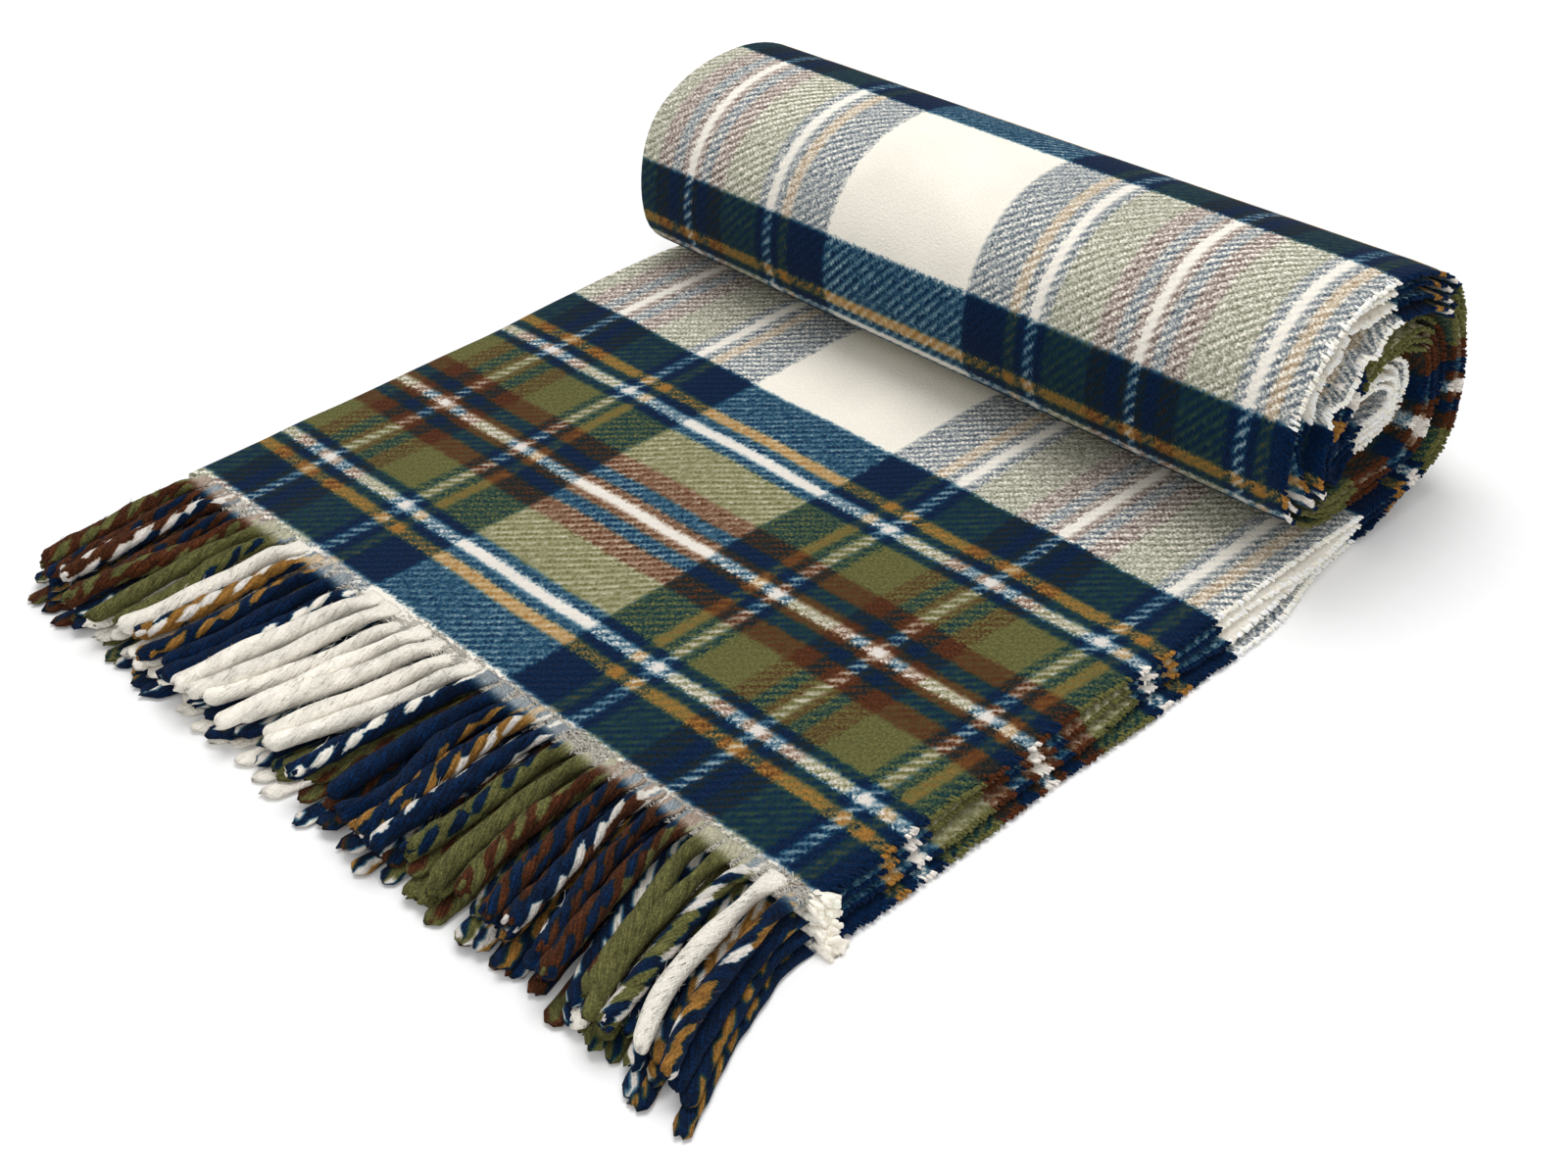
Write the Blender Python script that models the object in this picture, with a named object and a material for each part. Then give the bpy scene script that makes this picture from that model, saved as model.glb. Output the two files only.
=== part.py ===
"""Brushed wool tartan throw: creased lengthwise, folded end to end and rolled from the fold.

Four cloth quarters lie on each other. Quarter 1 is the top of the flat front flap and quarter 4 its
underside. Each quarter runs on from the flap into the roll, where quarter 4 is the outside. Every
quarter ends in a row of plied tassels at the front. X runs along the roll, -Y is the fringed front
and the throw rests on Z = 0.
"""
import math

import bmesh
import bpy
from mathutils import Vector

# Cloth
LAYER = 0.0036            # one layer of brushed cloth with its share of air
GAP = 0.0003              # clear space between neighbouring solids
STACK = 4 * LAYER
CREASE_ROUND = 0.003      # how far a creased edge rounds off

# Front flap, in plan
NIP_Y = 0.150             # where the flap meets the roll
HEM_Y = -0.104            # front hem of quarter 1
HEM_STEP = 0.0015         # each lower quarter reaches this much further forward
CREASE_X = -0.159         # creased left side
SELVEDGE_X = 0.197        # right selvedge of quarter 1
SELVEDGE_STEP = 0.0027    # each lower quarter reaches this much further right
CREASE_DRIFT = 0.0063     # the creased side moves in by this much towards the hem

# Roll, seen from its end
ROLL_Y = 0.1945           # middle of the roll
ROLL_HALF_DEPTH = 0.0585
ROLL_HEIGHT = 0.103
WIDEST_Z = 0.043          # height at which the outer wrap is deepest
UPPER_SQUARENESS = 2.3    # superellipse powers above and below the widest height
LOWER_SQUARENESS = 2.5
WRAP_PITCH = 0.0162       # radial step from one wrap to the next
STEP_START = 0.72         # where in its turn a wrap steps in, at the front foot of the roll
STEP_SPAN = 0.24
DEGREES_PER_SEGMENT = 11
OUTER_SEGMENTS = 75       # quarters 3 and 4 end after 2.3 wraps
INNER_SEGMENTS = 90       # quarters 1 and 2 take shorter turns, and their spare length fills the core
FLOOR_STATIONS = (0.0, 0.4, 0.8)  # share of the way from the nip to the foot of the roll
ROLL_CREASE_X = -0.156
ROLL_SELVEDGE_X = 0.190
ROLL_SKEW = -0.02         # the roll lies slightly off square to the flap
ROLL_FLARE = 0.25         # the selvedge end is a little looser than the creased end

# Fringe
TASSELS = 36
TASSEL_LENGTH = 0.078
TASSEL_WIDTH = 0.0080
TASSEL_HEIGHT = 0.0068
ROOT_HEIGHT = 0.0030
ROOT_CLEARANCE = 0.0022   # space a row needs to turn about its hem
TIP_PITCH = 0.0024        # height of one lower row at its tips
FRINGE_REACH = 0.085      # run over which the pile of rows thins to its height at the tips
STRIP_WIDTH = 0.004       # band of warp ends that holds a lower row together
FINGER_SPACE = 0.0014     # space between neighbouring tassels of a lower row
ROW_STEP = 0.002          # each lower row ends this much further forward
SPLAY = (                 # where a tassel starts along the hem, and how far its tip has moved
    (-0.150, 0.0040),
    (-0.100, -0.0020),
    (-0.060, -0.0070),
    (-0.030, -0.0120),
    (0.000, -0.0145),
    (0.036, -0.0125),
    (0.046, -0.0040),
    (0.060, 0.0000),
    (0.100, 0.0100),
    (0.150, 0.0200),
    (0.200, 0.0270),
)

# Tassel colours repeat the warp stripes, from the middle of the cream stripe outwards
WARP_REPEAT = 0.254
WARP_STRIPES = (
    (0.040, "cream"),
    (0.060, "navy"),
    (0.072, "ochre"),
    (0.080, "white"),
    (0.104, "green"),
    (0.124, "brown"),
    (0.127, "white"),
)
COLOURS = {
    "cream": (0.86, 0.83, 0.76),
    "white": (0.70, 0.72, 0.73),
    "navy": (0.008, 0.030, 0.075),
    "ochre": (0.22, 0.13, 0.035),
    "green": (0.105, 0.130, 0.048),
    "brown": (0.090, 0.032, 0.014),
}
CLOTH_COLOURS = ("green", "navy", "brown", "navy")
WOOL_ROUGHNESS = 0.95


def clear_scene():
    for obj in list(bpy.data.objects):
        bpy.data.objects.remove(obj, do_unlink=True)


def wool(name, colour):
    material = bpy.data.materials.new(name)
    material.use_nodes = True
    shader = material.node_tree.nodes["Principled BSDF"]
    shader.inputs["Base Color"].default_value = (*colour, 1.0)
    shader.inputs["Roughness"].default_value = WOOL_ROUGHNESS
    shader.inputs["Metallic"].default_value = 0.0
    return material


def add_solid(name, rings, colour, parent=None):
    """Closed tube through rings of equal length, capped at both ends, hung on its parent."""
    mesh = bmesh.new()
    origin = parent.location if parent else Vector((0, 0, 0))
    loops = [[mesh.verts.new(Vector(point) - origin) for point in ring] for ring in rings]
    count = len(loops[0])
    for back, front in zip(loops, loops[1:]):
        for i in range(count):
            j = (i + 1) % count
            mesh.faces.new((back[i], back[j], front[j], front[i]))
    mesh.faces.new(loops[0])
    mesh.faces.new(loops[-1])
    return finish_solid(name, mesh, colour, parent)


def finish_solid(name, mesh, colour, parent):
    bmesh.ops.recalc_face_normals(mesh, faces=mesh.faces)
    data = bpy.data.meshes.new(name)
    mesh.to_mesh(data)
    mesh.free()
    data.materials.append(wool(name + "_wool", COLOURS[colour]))
    data.shade_smooth()
    data.set_sharp_from_angle(angle=math.radians(50))
    obj = bpy.data.objects.new(name, data)
    bpy.context.scene.collection.objects.link(obj)
    obj.parent = parent
    return obj


def add_pivot(name, location):
    pivot = bpy.data.objects.new(name, None)
    pivot.location = location
    bpy.context.scene.collection.objects.link(pivot)
    return pivot


def smooth_step(t):
    t = min(max(t, 0.0), 1.0)
    return t * t * (3 - 2 * t)


# ---------------------------------------------------------------- roll

def wrap_depth(turn):
    """Wraps between the outside of the roll and this turn; each step in falls at the front foot."""
    whole = math.floor(turn + 0.25)
    return whole + smooth_step((turn + 0.25 - whole - STEP_START) / STEP_SPAN)


def roll_point(turn):
    """Outer face of the stack. Turn 0 faces the back, and the wrap starts at -0.25, at the foot."""
    depth = wrap_depth(turn)
    inset = depth * WRAP_PITCH
    widest = WIDEST_Z + (ROLL_HEIGHT / 2 - WIDEST_Z) * min(depth, 1.0)
    angle = 2 * math.pi * turn
    across, up = math.cos(angle), math.sin(angle)
    if up > 0:
        half_height = ROLL_HEIGHT - inset - widest
        power = UPPER_SQUARENESS
    else:
        half_height = widest - inset
        power = LOWER_SQUARENESS
    half_depth = ROLL_HALF_DEPTH - inset
    radius = (abs(across / half_depth) ** power + abs(up / half_height) ** power) ** (-1 / power)
    return Vector((ROLL_Y + radius * across, widest + radius * up))


def roll_path():
    """Points and inward normals of the stack's outer face, from the nip to the core."""
    points = [Vector((NIP_Y + t * (ROLL_Y - NIP_Y), 0.0)) for t in FLOOR_STATIONS]
    points += [roll_point(-0.25 + i * DEGREES_PER_SEGMENT / 360) for i in range(INNER_SEGMENTS + 1)]
    path = []
    for i, point in enumerate(points):
        along = (points[min(i + 1, len(points) - 1)] - points[max(i - 1, 0)]).normalized()
        path.append((point, Vector((-along.y, along.x))))
    return path


def roll_place(x, y, z):
    """Skews the roll off square and flares its selvedge end about the nip."""
    flare = 1 + ROLL_FLARE * x
    run = y - NIP_Y
    skew = ROLL_SKEW * x * smooth_step(run / 0.04)
    return (x, NIP_Y + run * flare + skew, GAP / 2 + (z - GAP / 2) * flare)


def section(quarter, crease_x, selvedge_x):
    """Corners of one layer across the stack: (x, height above the underside of the stack)."""
    low = (4 - quarter) * LAYER + GAP / 2
    high = low + LAYER - GAP
    middle = (low + high) / 2
    if quarter in (1, 3):
        low, high = high, low
    return (
        (selvedge_x, low),
        (selvedge_x, high),
        (crease_x, high),
        (crease_x + 0.3 * CREASE_ROUND, middle),
        (crease_x + CREASE_ROUND, low),
    )


def add_roll_quarter(quarter, path):
    corners = section(quarter, ROLL_CREASE_X, ROLL_SELVEDGE_X)
    segments = OUTER_SEGMENTS if quarter > 2 else INNER_SEGMENTS
    rings = []
    for point, inward in path[:len(FLOOR_STATIONS) + segments + 1]:
        ring = []
        for x, height in corners:
            spot = point + inward * height
            ring.append(roll_place(x, spot.x, spot.y))
        rings.append(ring)
    add_solid(f"quarter_{quarter}_roll", rings, CLOTH_COLOURS[quarter - 1])


# ---------------------------------------------------------------- flap

def hem_y(quarter):
    return HEM_Y - HEM_STEP * (quarter - 1)


def selvedge_x(quarter):
    return SELVEDGE_X + SELVEDGE_STEP * (quarter - 1)


def crease_x_at(y):
    return CREASE_X + CREASE_DRIFT * (NIP_Y - y) / (NIP_Y - HEM_Y)


def add_flap_quarter(quarter, pivot):
    rings = []
    front, back = hem_y(quarter), NIP_Y - GAP
    for t in (0.0, 0.25, 0.5, 0.75, 1.0):
        y = back + t * (front - back)
        rings.append([(x, y, z) for x, z in section(quarter, crease_x_at(y), selvedge_x(quarter))])
    add_solid(f"quarter_{quarter}_flap", rings, CLOTH_COLOURS[quarter - 1], pivot)


# ---------------------------------------------------------------- fringe

def splay(x):
    """How far a tassel that starts at x has moved along the hem by its tip."""
    if x <= SPLAY[0][0]:
        return SPLAY[0][1]
    for (left, left_shift), (right, right_shift) in zip(SPLAY, SPLAY[1:]):
        if x <= right:
            return left_shift + (right_shift - left_shift) * (x - left) / (right - left)
    return SPLAY[-1][1]


def row_level(level, y):
    """Height at y of the boundary above this many lower rows; the pile thins towards the tips."""
    return level * (LAYER + (TIP_PITCH - LAYER) * (HEM_Y - y) / FRINGE_REACH)


def row_roots(quarter):
    left = crease_x_at(HEM_Y) + CREASE_ROUND / 2
    pitch = (selvedge_x(quarter) - left) / TASSELS
    return pitch, [left + (i + 0.5) * pitch for i in range(TASSELS)]


def warp_colour(x):
    offset = abs((x + WARP_REPEAT / 2) % WARP_REPEAT - WARP_REPEAT / 2)
    for edge, name in WARP_STRIPES:
        if offset <= edge:
            return name
    return WARP_STRIPES[-1][1]


def add_tassel(index, root_x, pivot):
    """One plied tassel of the top row: slim at the hem, full in the middle, blunt at the tip."""
    root_y = hem_y(1) - ROOT_CLEARANCE
    stations = (
        (0.00, 0.70, ROOT_HEIGHT / TASSEL_HEIGHT),
        (0.16, 0.94, 0.86),
        (0.50, 1.00, 1.00),
        (0.92, 1.00, 1.00),
        (1.00, 0.66, 0.66),
    )
    rings = []
    for t, wide, high in stations:
        x = root_x + splay(root_x) * t * t
        y = root_y - TASSEL_LENGTH * t
        z = row_level(3, y) + GAP / 2 + high * TASSEL_HEIGHT / 2
        rings.append([
            (
                x + wide * TASSEL_WIDTH / 2 * math.cos(math.radians(60 * k)),
                y,
                z + high * TASSEL_HEIGHT / 2 * math.sin(math.radians(60 * k)),
            )
            for k in range(6)
        ])
    add_solid(f"tassel_{index:02d}", rings, warp_colour(root_x), pivot)


def add_fringe_row(quarter, pivot):
    """A lower row as one comb: a strip of warp ends along the hem with a flat finger per tassel."""
    pitch, roots = row_roots(quarter)
    level = 4 - quarter
    root_y = hem_y(quarter) - ROOT_CLEARANCE
    strip_y = root_y - STRIP_WIDTH
    tip_y = root_y - TASSEL_LENGTH - ROW_STEP * (quarter - 1)
    finger = pitch - FINGER_SPACE

    mesh = bmesh.new()

    def corner_pair(x, y):
        low = row_level(level, y) + GAP / 2
        high = row_level(level + 1, y) - GAP / 2
        return [mesh.verts.new(Vector((x, y, z)) - pivot.location) for z in (low, high)]

    back, front = [], []
    for root_x in roots:
        for side in (-finger / 2, finger / 2):
            back.append(corner_pair(root_x + side, root_y))
            front.append(corner_pair(root_x + side, strip_y))
    last = len(back) - 1
    for i in range(last):
        for face in (0, 1):
            mesh.faces.new((back[i][face], back[i + 1][face], front[i + 1][face], front[i][face]))
        mesh.faces.new((back[i][0], back[i + 1][0], back[i + 1][1], back[i][1]))
        if i % 2:
            mesh.faces.new((front[i][0], front[i + 1][0], front[i + 1][1], front[i][1]))
    for i in (0, last):
        mesh.faces.new((back[i][0], front[i][0], front[i][1], back[i][1]))
    for i, root_x in enumerate(roots):
        shift = splay(root_x)
        left, right = front[2 * i], front[2 * i + 1]
        tip_left = corner_pair(root_x + shift - 0.42 * finger, tip_y)
        tip_right = corner_pair(root_x + shift + 0.42 * finger, tip_y)
        for face in (0, 1):
            mesh.faces.new((left[face], right[face], tip_right[face], tip_left[face]))
        mesh.faces.new((left[0], tip_left[0], tip_left[1], left[1]))
        mesh.faces.new((right[0], tip_right[0], tip_right[1], right[1]))
        mesh.faces.new((tip_left[0], tip_right[0], tip_right[1], tip_left[1]))
    finish_solid(f"fringe_row_{quarter}", mesh, CLOTH_COLOURS[quarter - 1], pivot)


# ---------------------------------------------------------------- assembly

def centre_on_footprint():
    """Moves the whole throw so that its origin is the middle of its footprint, on the floor."""
    bpy.context.view_layer.update()
    meshes = [obj for obj in bpy.context.scene.objects if obj.type == "MESH"]
    spots = [obj.matrix_world @ vertex.co for obj in meshes for vertex in obj.data.vertices]
    low = [min(spot[axis] for spot in spots) for axis in range(3)]
    high = [max(spot[axis] for spot in spots) for axis in range(3)]
    shift = Vector(((low[0] + high[0]) / 2, (low[1] + high[1]) / 2, low[2]))
    for obj in bpy.context.scene.objects:
        if obj.parent is None:
            obj.location -= shift


def main():
    clear_scene()
    path = roll_path()
    for quarter in (1, 2, 3, 4):
        add_roll_quarter(quarter, path)

    flap_pivot = add_pivot("flap_pivot", (0.0, NIP_Y, STACK))
    lower_pivot = add_pivot("lower_fringe_pivot", (0.0, hem_y(4) - ROOT_CLEARANCE, LAYER / 2))
    root_z = row_level(3, HEM_Y) + GAP / 2 + ROOT_HEIGHT / 2
    top_pivot = add_pivot("top_fringe_pivot", (0.0, hem_y(1) - ROOT_CLEARANCE, root_z))
    for quarter in (1, 2, 3, 4):
        add_flap_quarter(quarter, flap_pivot)
    for quarter in (2, 3, 4):
        add_fringe_row(quarter, lower_pivot)
    for index, root_x in enumerate(row_roots(1)[1], start=1):
        add_tassel(index, root_x, top_pivot)
    centre_on_footprint()


main()
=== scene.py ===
"""Looks of the rolled tartan throw: one folded and rolled cloth, plied tassels, tufted selvedges.

All making is done in plan coordinates, as in the CAD: the cream stripe's middle at X = 0, the white
weft line of the flap at Y = 0, the floor at Z = 0. place() moves them into the frame at the end.
"""

import math

import bpy
import numpy as np
from mathutils import Matrix, Vector


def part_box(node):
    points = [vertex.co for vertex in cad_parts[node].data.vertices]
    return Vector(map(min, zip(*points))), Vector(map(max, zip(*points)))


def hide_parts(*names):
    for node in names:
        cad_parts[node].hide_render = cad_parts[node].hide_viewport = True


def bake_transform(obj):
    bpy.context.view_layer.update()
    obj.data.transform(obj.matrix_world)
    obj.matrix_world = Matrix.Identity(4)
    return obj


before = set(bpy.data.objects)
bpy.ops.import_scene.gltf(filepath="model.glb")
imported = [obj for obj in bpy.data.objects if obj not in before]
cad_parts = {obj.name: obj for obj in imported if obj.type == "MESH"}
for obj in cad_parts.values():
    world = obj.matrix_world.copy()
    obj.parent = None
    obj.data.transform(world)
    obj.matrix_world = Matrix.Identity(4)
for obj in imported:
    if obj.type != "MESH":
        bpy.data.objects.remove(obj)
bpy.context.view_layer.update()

# ---------------------------------------------------------------- sizes, in metres

# Cloth
LAYER = 0.0036             # one layer in the pile
CLOTH = 0.0027             # the cloth itself, so that layers show as separate edges
STACK = 4 * LAYER
GAP = 0.0003

# Flap in plan: it ends at the nip, where it runs into the roll
NIP_Y = 0.150
HEM_Y = -0.104
HEM_STEP = 0.0015          # how much further each lower hem reaches
CREASE_X = -0.159
CREASE_DRIFT = 0.0063      # how far the crease runs inwards from nip to hem
SELVEDGE_X = 0.197
SELVEDGE_STEP = 0.0027     # how much further each lower selvedge reaches

# Roll: its outer section, and how the wraps step inwards
ROLL_Y = 0.1945
ROLL_HALF_DEPTH = 0.0585
ROLL_HEIGHT = 0.103
WIDEST_Z = 0.043
UPPER_SQUARENESS = 2.3     # 2 is an ellipse
LOWER_SQUARENESS = 2.5
WRAP_PITCH = 0.0162
STEP_START = 0.72          # share of each turn where the step to the next wrap begins
STEP_SPAN = 0.24
WRAPS = 2.62
POINTS_PER_TURN = 720
FLOOR_POINTS = 39          # from the nip to under the roll's middle
SMOOTHING = 9              # points that a direction on the path is averaged over

# Roll in plan
ROLL_CREASE_X = -0.1535
ROLL_SELVEDGE_X = 0.194
ROLL_SELVEDGE_STEP = 0.0012
ROLL_SKEW = -0.02
ROLL_FLARE = 0.25          # growth towards the selvedge end
FALL = 0.0095              # how far the inner layers fall from the outer one at the loose end
DRAWN = 0.011              # how far their selvedges draw in there
CORE_DRAWN = 0.007         # how far the core's selvedges draw in

# Tartan: distance from a white pivot line to the far edge of each stripe
WARP_REPEAT = 0.254
WARP_PIVOT = 0.127
WARP_BANDS = (
    (0.0025, "white"),
    (0.0062, "brown"),
    (0.0125, "navy"),
    (0.0218, "brown"),
    (0.0445, "green"),
    (0.0490, "navy"),
    (0.0543, "white"),
    (0.0587, "navy"),
    (0.0645, "ochre"),
    (0.0868, "navy"),
    (0.1270, "cream"),
)
WEFT_REPEAT = 0.285
WEFT_BANDS = (
    (0.0028, "white"),
    (0.0070, "brown"),
    (0.0140, "navy"),
    (0.0245, "brown"),
    (0.0500, "green"),
    (0.0550, "navy"),
    (0.0610, "white"),
    (0.0660, "navy"),
    (0.0725, "ochre"),
    (0.0975, "navy"),
    (0.1425, "cream"),
)
CREAM_START = WEFT_BANDS[-2][0]
CREAM_BAND = WEFT_REPEAT - 2 * CREAM_START
CREAM_RETURN_Y = 0.2145    # where the weft's second cream band starts, near the top of the roll
CREAM_SHORT = 0.014        # length of that band which the turn of the cloth takes up
TOP_TO_NIP = 0.152         # from its start over the top and down the front to the nip
YARN_PITCH = 0.00132       # one warp or weft yarn to the next
STRIPE_SOFT = 0.0010       # half width of a stripe's soft edge

# Dyed wool, as display colours. Where two yarns lie side by side the darker one wins, so colours are
# mixed as their square roots and raised again afterwards.
MIX_POWER = 0.5
DYES = {
    "navy": (0.014, 0.116, 0.216),
    "green": (0.348, 0.345, 0.205),
    "brown": (0.272, 0.155, 0.090),
    "ochre": (0.540, 0.385, 0.190),
    "white": (0.830, 0.805, 0.775),
    "cream": (0.940, 0.915, 0.865),
}
BRIGHTEST = 0.97
LIGHT = 0.7                # white and cream lie above this, in every channel
# The warp's colours where the cream weft has been brushed over them
HAZED = {
    "navy": (0.125, 0.174, 0.230),
    "green": (0.270, 0.288, 0.212),
    "brown": (0.210, 0.150, 0.140),
    "ochre": (0.450, 0.350, 0.240),
    "white": (0.880, 0.860, 0.830),
    "cream": (0.940, 0.915, 0.865),
}

# Fringe
TASSELS = 36
TASSEL_LENGTH = 0.078
TIP_PITCH = 0.0024         # one row above another at the tips
FRINGE_REACH = 0.085
ROW_STEP = 0.002           # how much longer each lower row is
LOW_SHORT = 0.0055         # how much of a lower row's length is lost under the others
GATHER = 0.014             # length over which the flat warp ends come together into a cord
ROOT_CUT = 0.010           # where the hem's warp ends hand over to the tassels

# Places in the frame
flap_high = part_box("quarter_1_flap")[1]
ORIGIN = Vector((flap_high.x - SELVEDGE_X, flap_high.y - (NIP_Y - GAP), -GAP / 2))

# ---------------------------------------------------------------- small maths


def smooth_step(t):
    t = np.clip(t, 0.0, 1.0)
    return t * t * (3 - 2 * t)


def unit(vectors):
    return vectors / np.maximum(np.linalg.norm(vectors, axis=-1, keepdims=True), 1e-12)


def waves(seed, *coordinates, scale, count=6):
    """Smooth noise of about unit height: a sum of sine waves of random direction and phase."""
    rng = np.random.default_rng(seed)
    total = 0.0
    for _ in range(count):
        phase = rng.uniform(0, 2 * math.pi)
        for coordinate in coordinates:
            phase = phase + coordinate * rng.normal() * 2 * math.pi / scale
        total = total + np.sin(phase)
    return total / math.sqrt(count / 2)


# ---------------------------------------------------------------- roll path


def wrap_depth(turn):
    """How many wraps lie outside the path; turn is -0.25 at the bottom, 0.25 at the top."""
    whole = np.floor(turn + 0.25)
    return whole + smooth_step((turn + 0.25 - whole - STEP_START) / STEP_SPAN)


def roll_section():
    """Underside of the stack from the nip into the core: arc length, point and inward normal."""
    turn = np.linspace(-0.25, WRAPS - 0.25, round(WRAPS * POINTS_PER_TURN) + 1)
    depth = wrap_depth(turn)
    inset = depth * WRAP_PITCH
    widest = WIDEST_Z + (ROLL_HEIGHT / 2 - WIDEST_Z) * np.minimum(depth, 1.0)
    across, up = np.cos(2 * math.pi * turn), np.sin(2 * math.pi * turn)
    upper = up > 0
    half_height = np.where(upper, ROLL_HEIGHT - inset - widest, widest - inset)
    power = np.where(upper, UPPER_SQUARENESS, LOWER_SQUARENESS)
    half_depth = ROLL_HALF_DEPTH - inset
    radius = np.abs(across / half_depth) ** power + np.abs(up / half_height) ** power
    radius = radius ** (-1 / power)
    ring = np.stack([ROLL_Y + radius * across, widest + radius * up], axis=1)
    floor_y = np.linspace(NIP_Y, ROLL_Y, FLOOR_POINTS, endpoint=False)
    floor = np.stack([floor_y, np.zeros(FLOOR_POINTS)], axis=1)
    points = np.concatenate([floor, ring])
    along = np.gradient(points, axis=0)
    kernel = np.hanning(SMOOTHING + 2)[1:-1]
    kernel = kernel / kernel.sum()
    padded = np.pad(along, ((SMOOTHING // 2, SMOOTHING // 2), (0, 0)), mode="edge")
    along = unit(np.stack([np.convolve(padded[:, k], kernel, "valid") for k in (0, 1)], axis=1))
    normal = np.stack([-along[:, 1], along[:, 0]], axis=1)
    step = np.linalg.norm(np.diff(points, axis=0), axis=1)
    length = np.concatenate([[0], np.cumsum(step)])
    return length, points, normal, np.concatenate([np.full(FLOOR_POINTS, -0.25), turn])


PATH_LENGTH, PATH_POINT, PATH_NORMAL, PATH_TURN = roll_section()
ROLLED = PATH_LENGTH[-1]


def on_path(run):
    """Point and inward normal at a run from the nip; negative runs lie on the flap."""
    run = np.asarray(run, float)
    point = np.stack([np.interp(run, PATH_LENGTH, PATH_POINT[:, k]) for k in (0, 1)], axis=-1)
    normal = np.stack([np.interp(run, PATH_LENGTH, PATH_NORMAL[:, k]) for k in (0, 1)], axis=-1)
    point[..., 0] += np.minimum(run, 0.0)
    past = np.maximum(run - ROLLED, 0.0)
    end_along = np.array([PATH_NORMAL[-1, 1], -PATH_NORMAL[-1, 0]])
    point += past[..., None] * end_along
    return point, unit(normal)


def pattern_run(run):
    """Distance along the cloth from the flap's white line, where the tartan is read."""
    first_top = (PATH_TURN > 0.1) & (PATH_TURN < 0.25)
    miss = np.where(first_top, np.abs(PATH_POINT[:, 0] - CREAM_RETURN_Y), 1.0)
    back = PATH_LENGTH[np.argmin(miss)]
    start = WEFT_REPEAT + CREAM_START
    knots = (
        (-0.3, NIP_Y - 0.3),
        (0.038, NIP_Y + 0.038),
        (back + CREAM_SHORT, start),
        (back + CREAM_BAND, start + CREAM_BAND),
        (back + TOP_TO_NIP, start + TOP_TO_NIP),
        (ROLLED, 2.5 * WEFT_REPEAT),
    )
    return np.interp(run, *zip(*knots))


# ---------------------------------------------------------------- meshes


def place(points):
    """Plan coordinates to the frame; nothing sinks into the floor."""
    placed = np.asarray(points, float).reshape(-1, 3) + np.array(ORIGIN)
    placed[:, 2] = np.maximum(placed[:, 2], 0.0001)
    return placed


def make_object(name, points, faces, material, attributes):
    """A smooth mesh object; attributes gives a kind and a value for each point, by name."""
    mesh = bpy.data.meshes.new(name)
    mesh.from_pydata(place(points).tolist(), [], faces)
    for key, (kind, values) in attributes.items():
        layer = mesh.attributes.new(key, kind, "POINT")
        field = "color" if kind == "FLOAT_COLOR" else "vector"
        layer.data.foreach_set(field, np.asarray(values, np.float32).ravel())
    mesh.materials.append(material)
    mesh.shade_smooth()
    obj = bpy.data.objects.new(name, mesh)
    bpy.context.scene.collection.objects.link(obj)
    return obj


class Strands:
    """Collects cords and short tubes, coloured point by point, to become one mesh."""

    def __init__(self):
        self.points, self.faces, self.dyes, self.lays = [], [], [], []
        self.count = 0

    def add(self, rings, dyes, lay):
        """rings, dyes and lay are each rings x sides x 3; both ends are capped."""
        start, (length, sides) = self.count, rings.shape[:2]
        for i in range(length - 1):
            for k in range(sides):
                n = (k + 1) % sides
                a, b = start + i * sides, start + (i + 1) * sides
                self.faces.append((a + k, b + k, b + n, a + n))
        self.faces.append(tuple(start + k for k in range(sides)))
        self.faces.append(tuple(start + (length - 1) * sides + k for k in reversed(range(sides))))
        self.points.append(rings.reshape(-1, 3))
        opaque = np.ones((length * sides, 1))
        self.dyes.append(np.concatenate([mixable(dyes).reshape(-1, 3), opaque], axis=1))
        self.lays.append(lay.reshape(-1, 3))
        self.count += length * sides

    def add_tube(self, line, radius, dye, sides):
        """A round tube along line; radius is a number for each point of it."""
        line, radius = np.asarray(line, float), np.asarray(radius, float)[:, None, None]
        along = unit(np.gradient(line, axis=0))
        side = unit(np.cross(along, (0.0, 0.0, 1.0)))
        over = np.cross(side, along)
        angle = -np.arange(sides) * 2 * math.pi / sides
        round_x, round_z = np.cos(angle)[None, :, None], np.sin(angle)[None, :, None]
        rings = line[:, None] + radius * (round_x * side[:, None] + round_z * over[:, None])
        lay = np.broadcast_to(line[:, None], rings.shape) + 0.001 * np.stack([angle] * 3, axis=-1)
        self.add(rings, np.broadcast_to(dye, rings.shape), lay)

    def finish(self, name, material):
        attributes = {
            "dye": ("FLOAT_COLOR", np.concatenate(self.dyes)),
            "lay": ("FLOAT_VECTOR", np.concatenate(self.lays)),
        }
        return make_object(name, np.concatenate(self.points), self.faces, material, attributes)


# ---------------------------------------------------------------- materials


def mixable(colour):
    return np.asarray(colour) ** MIX_POWER


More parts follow.
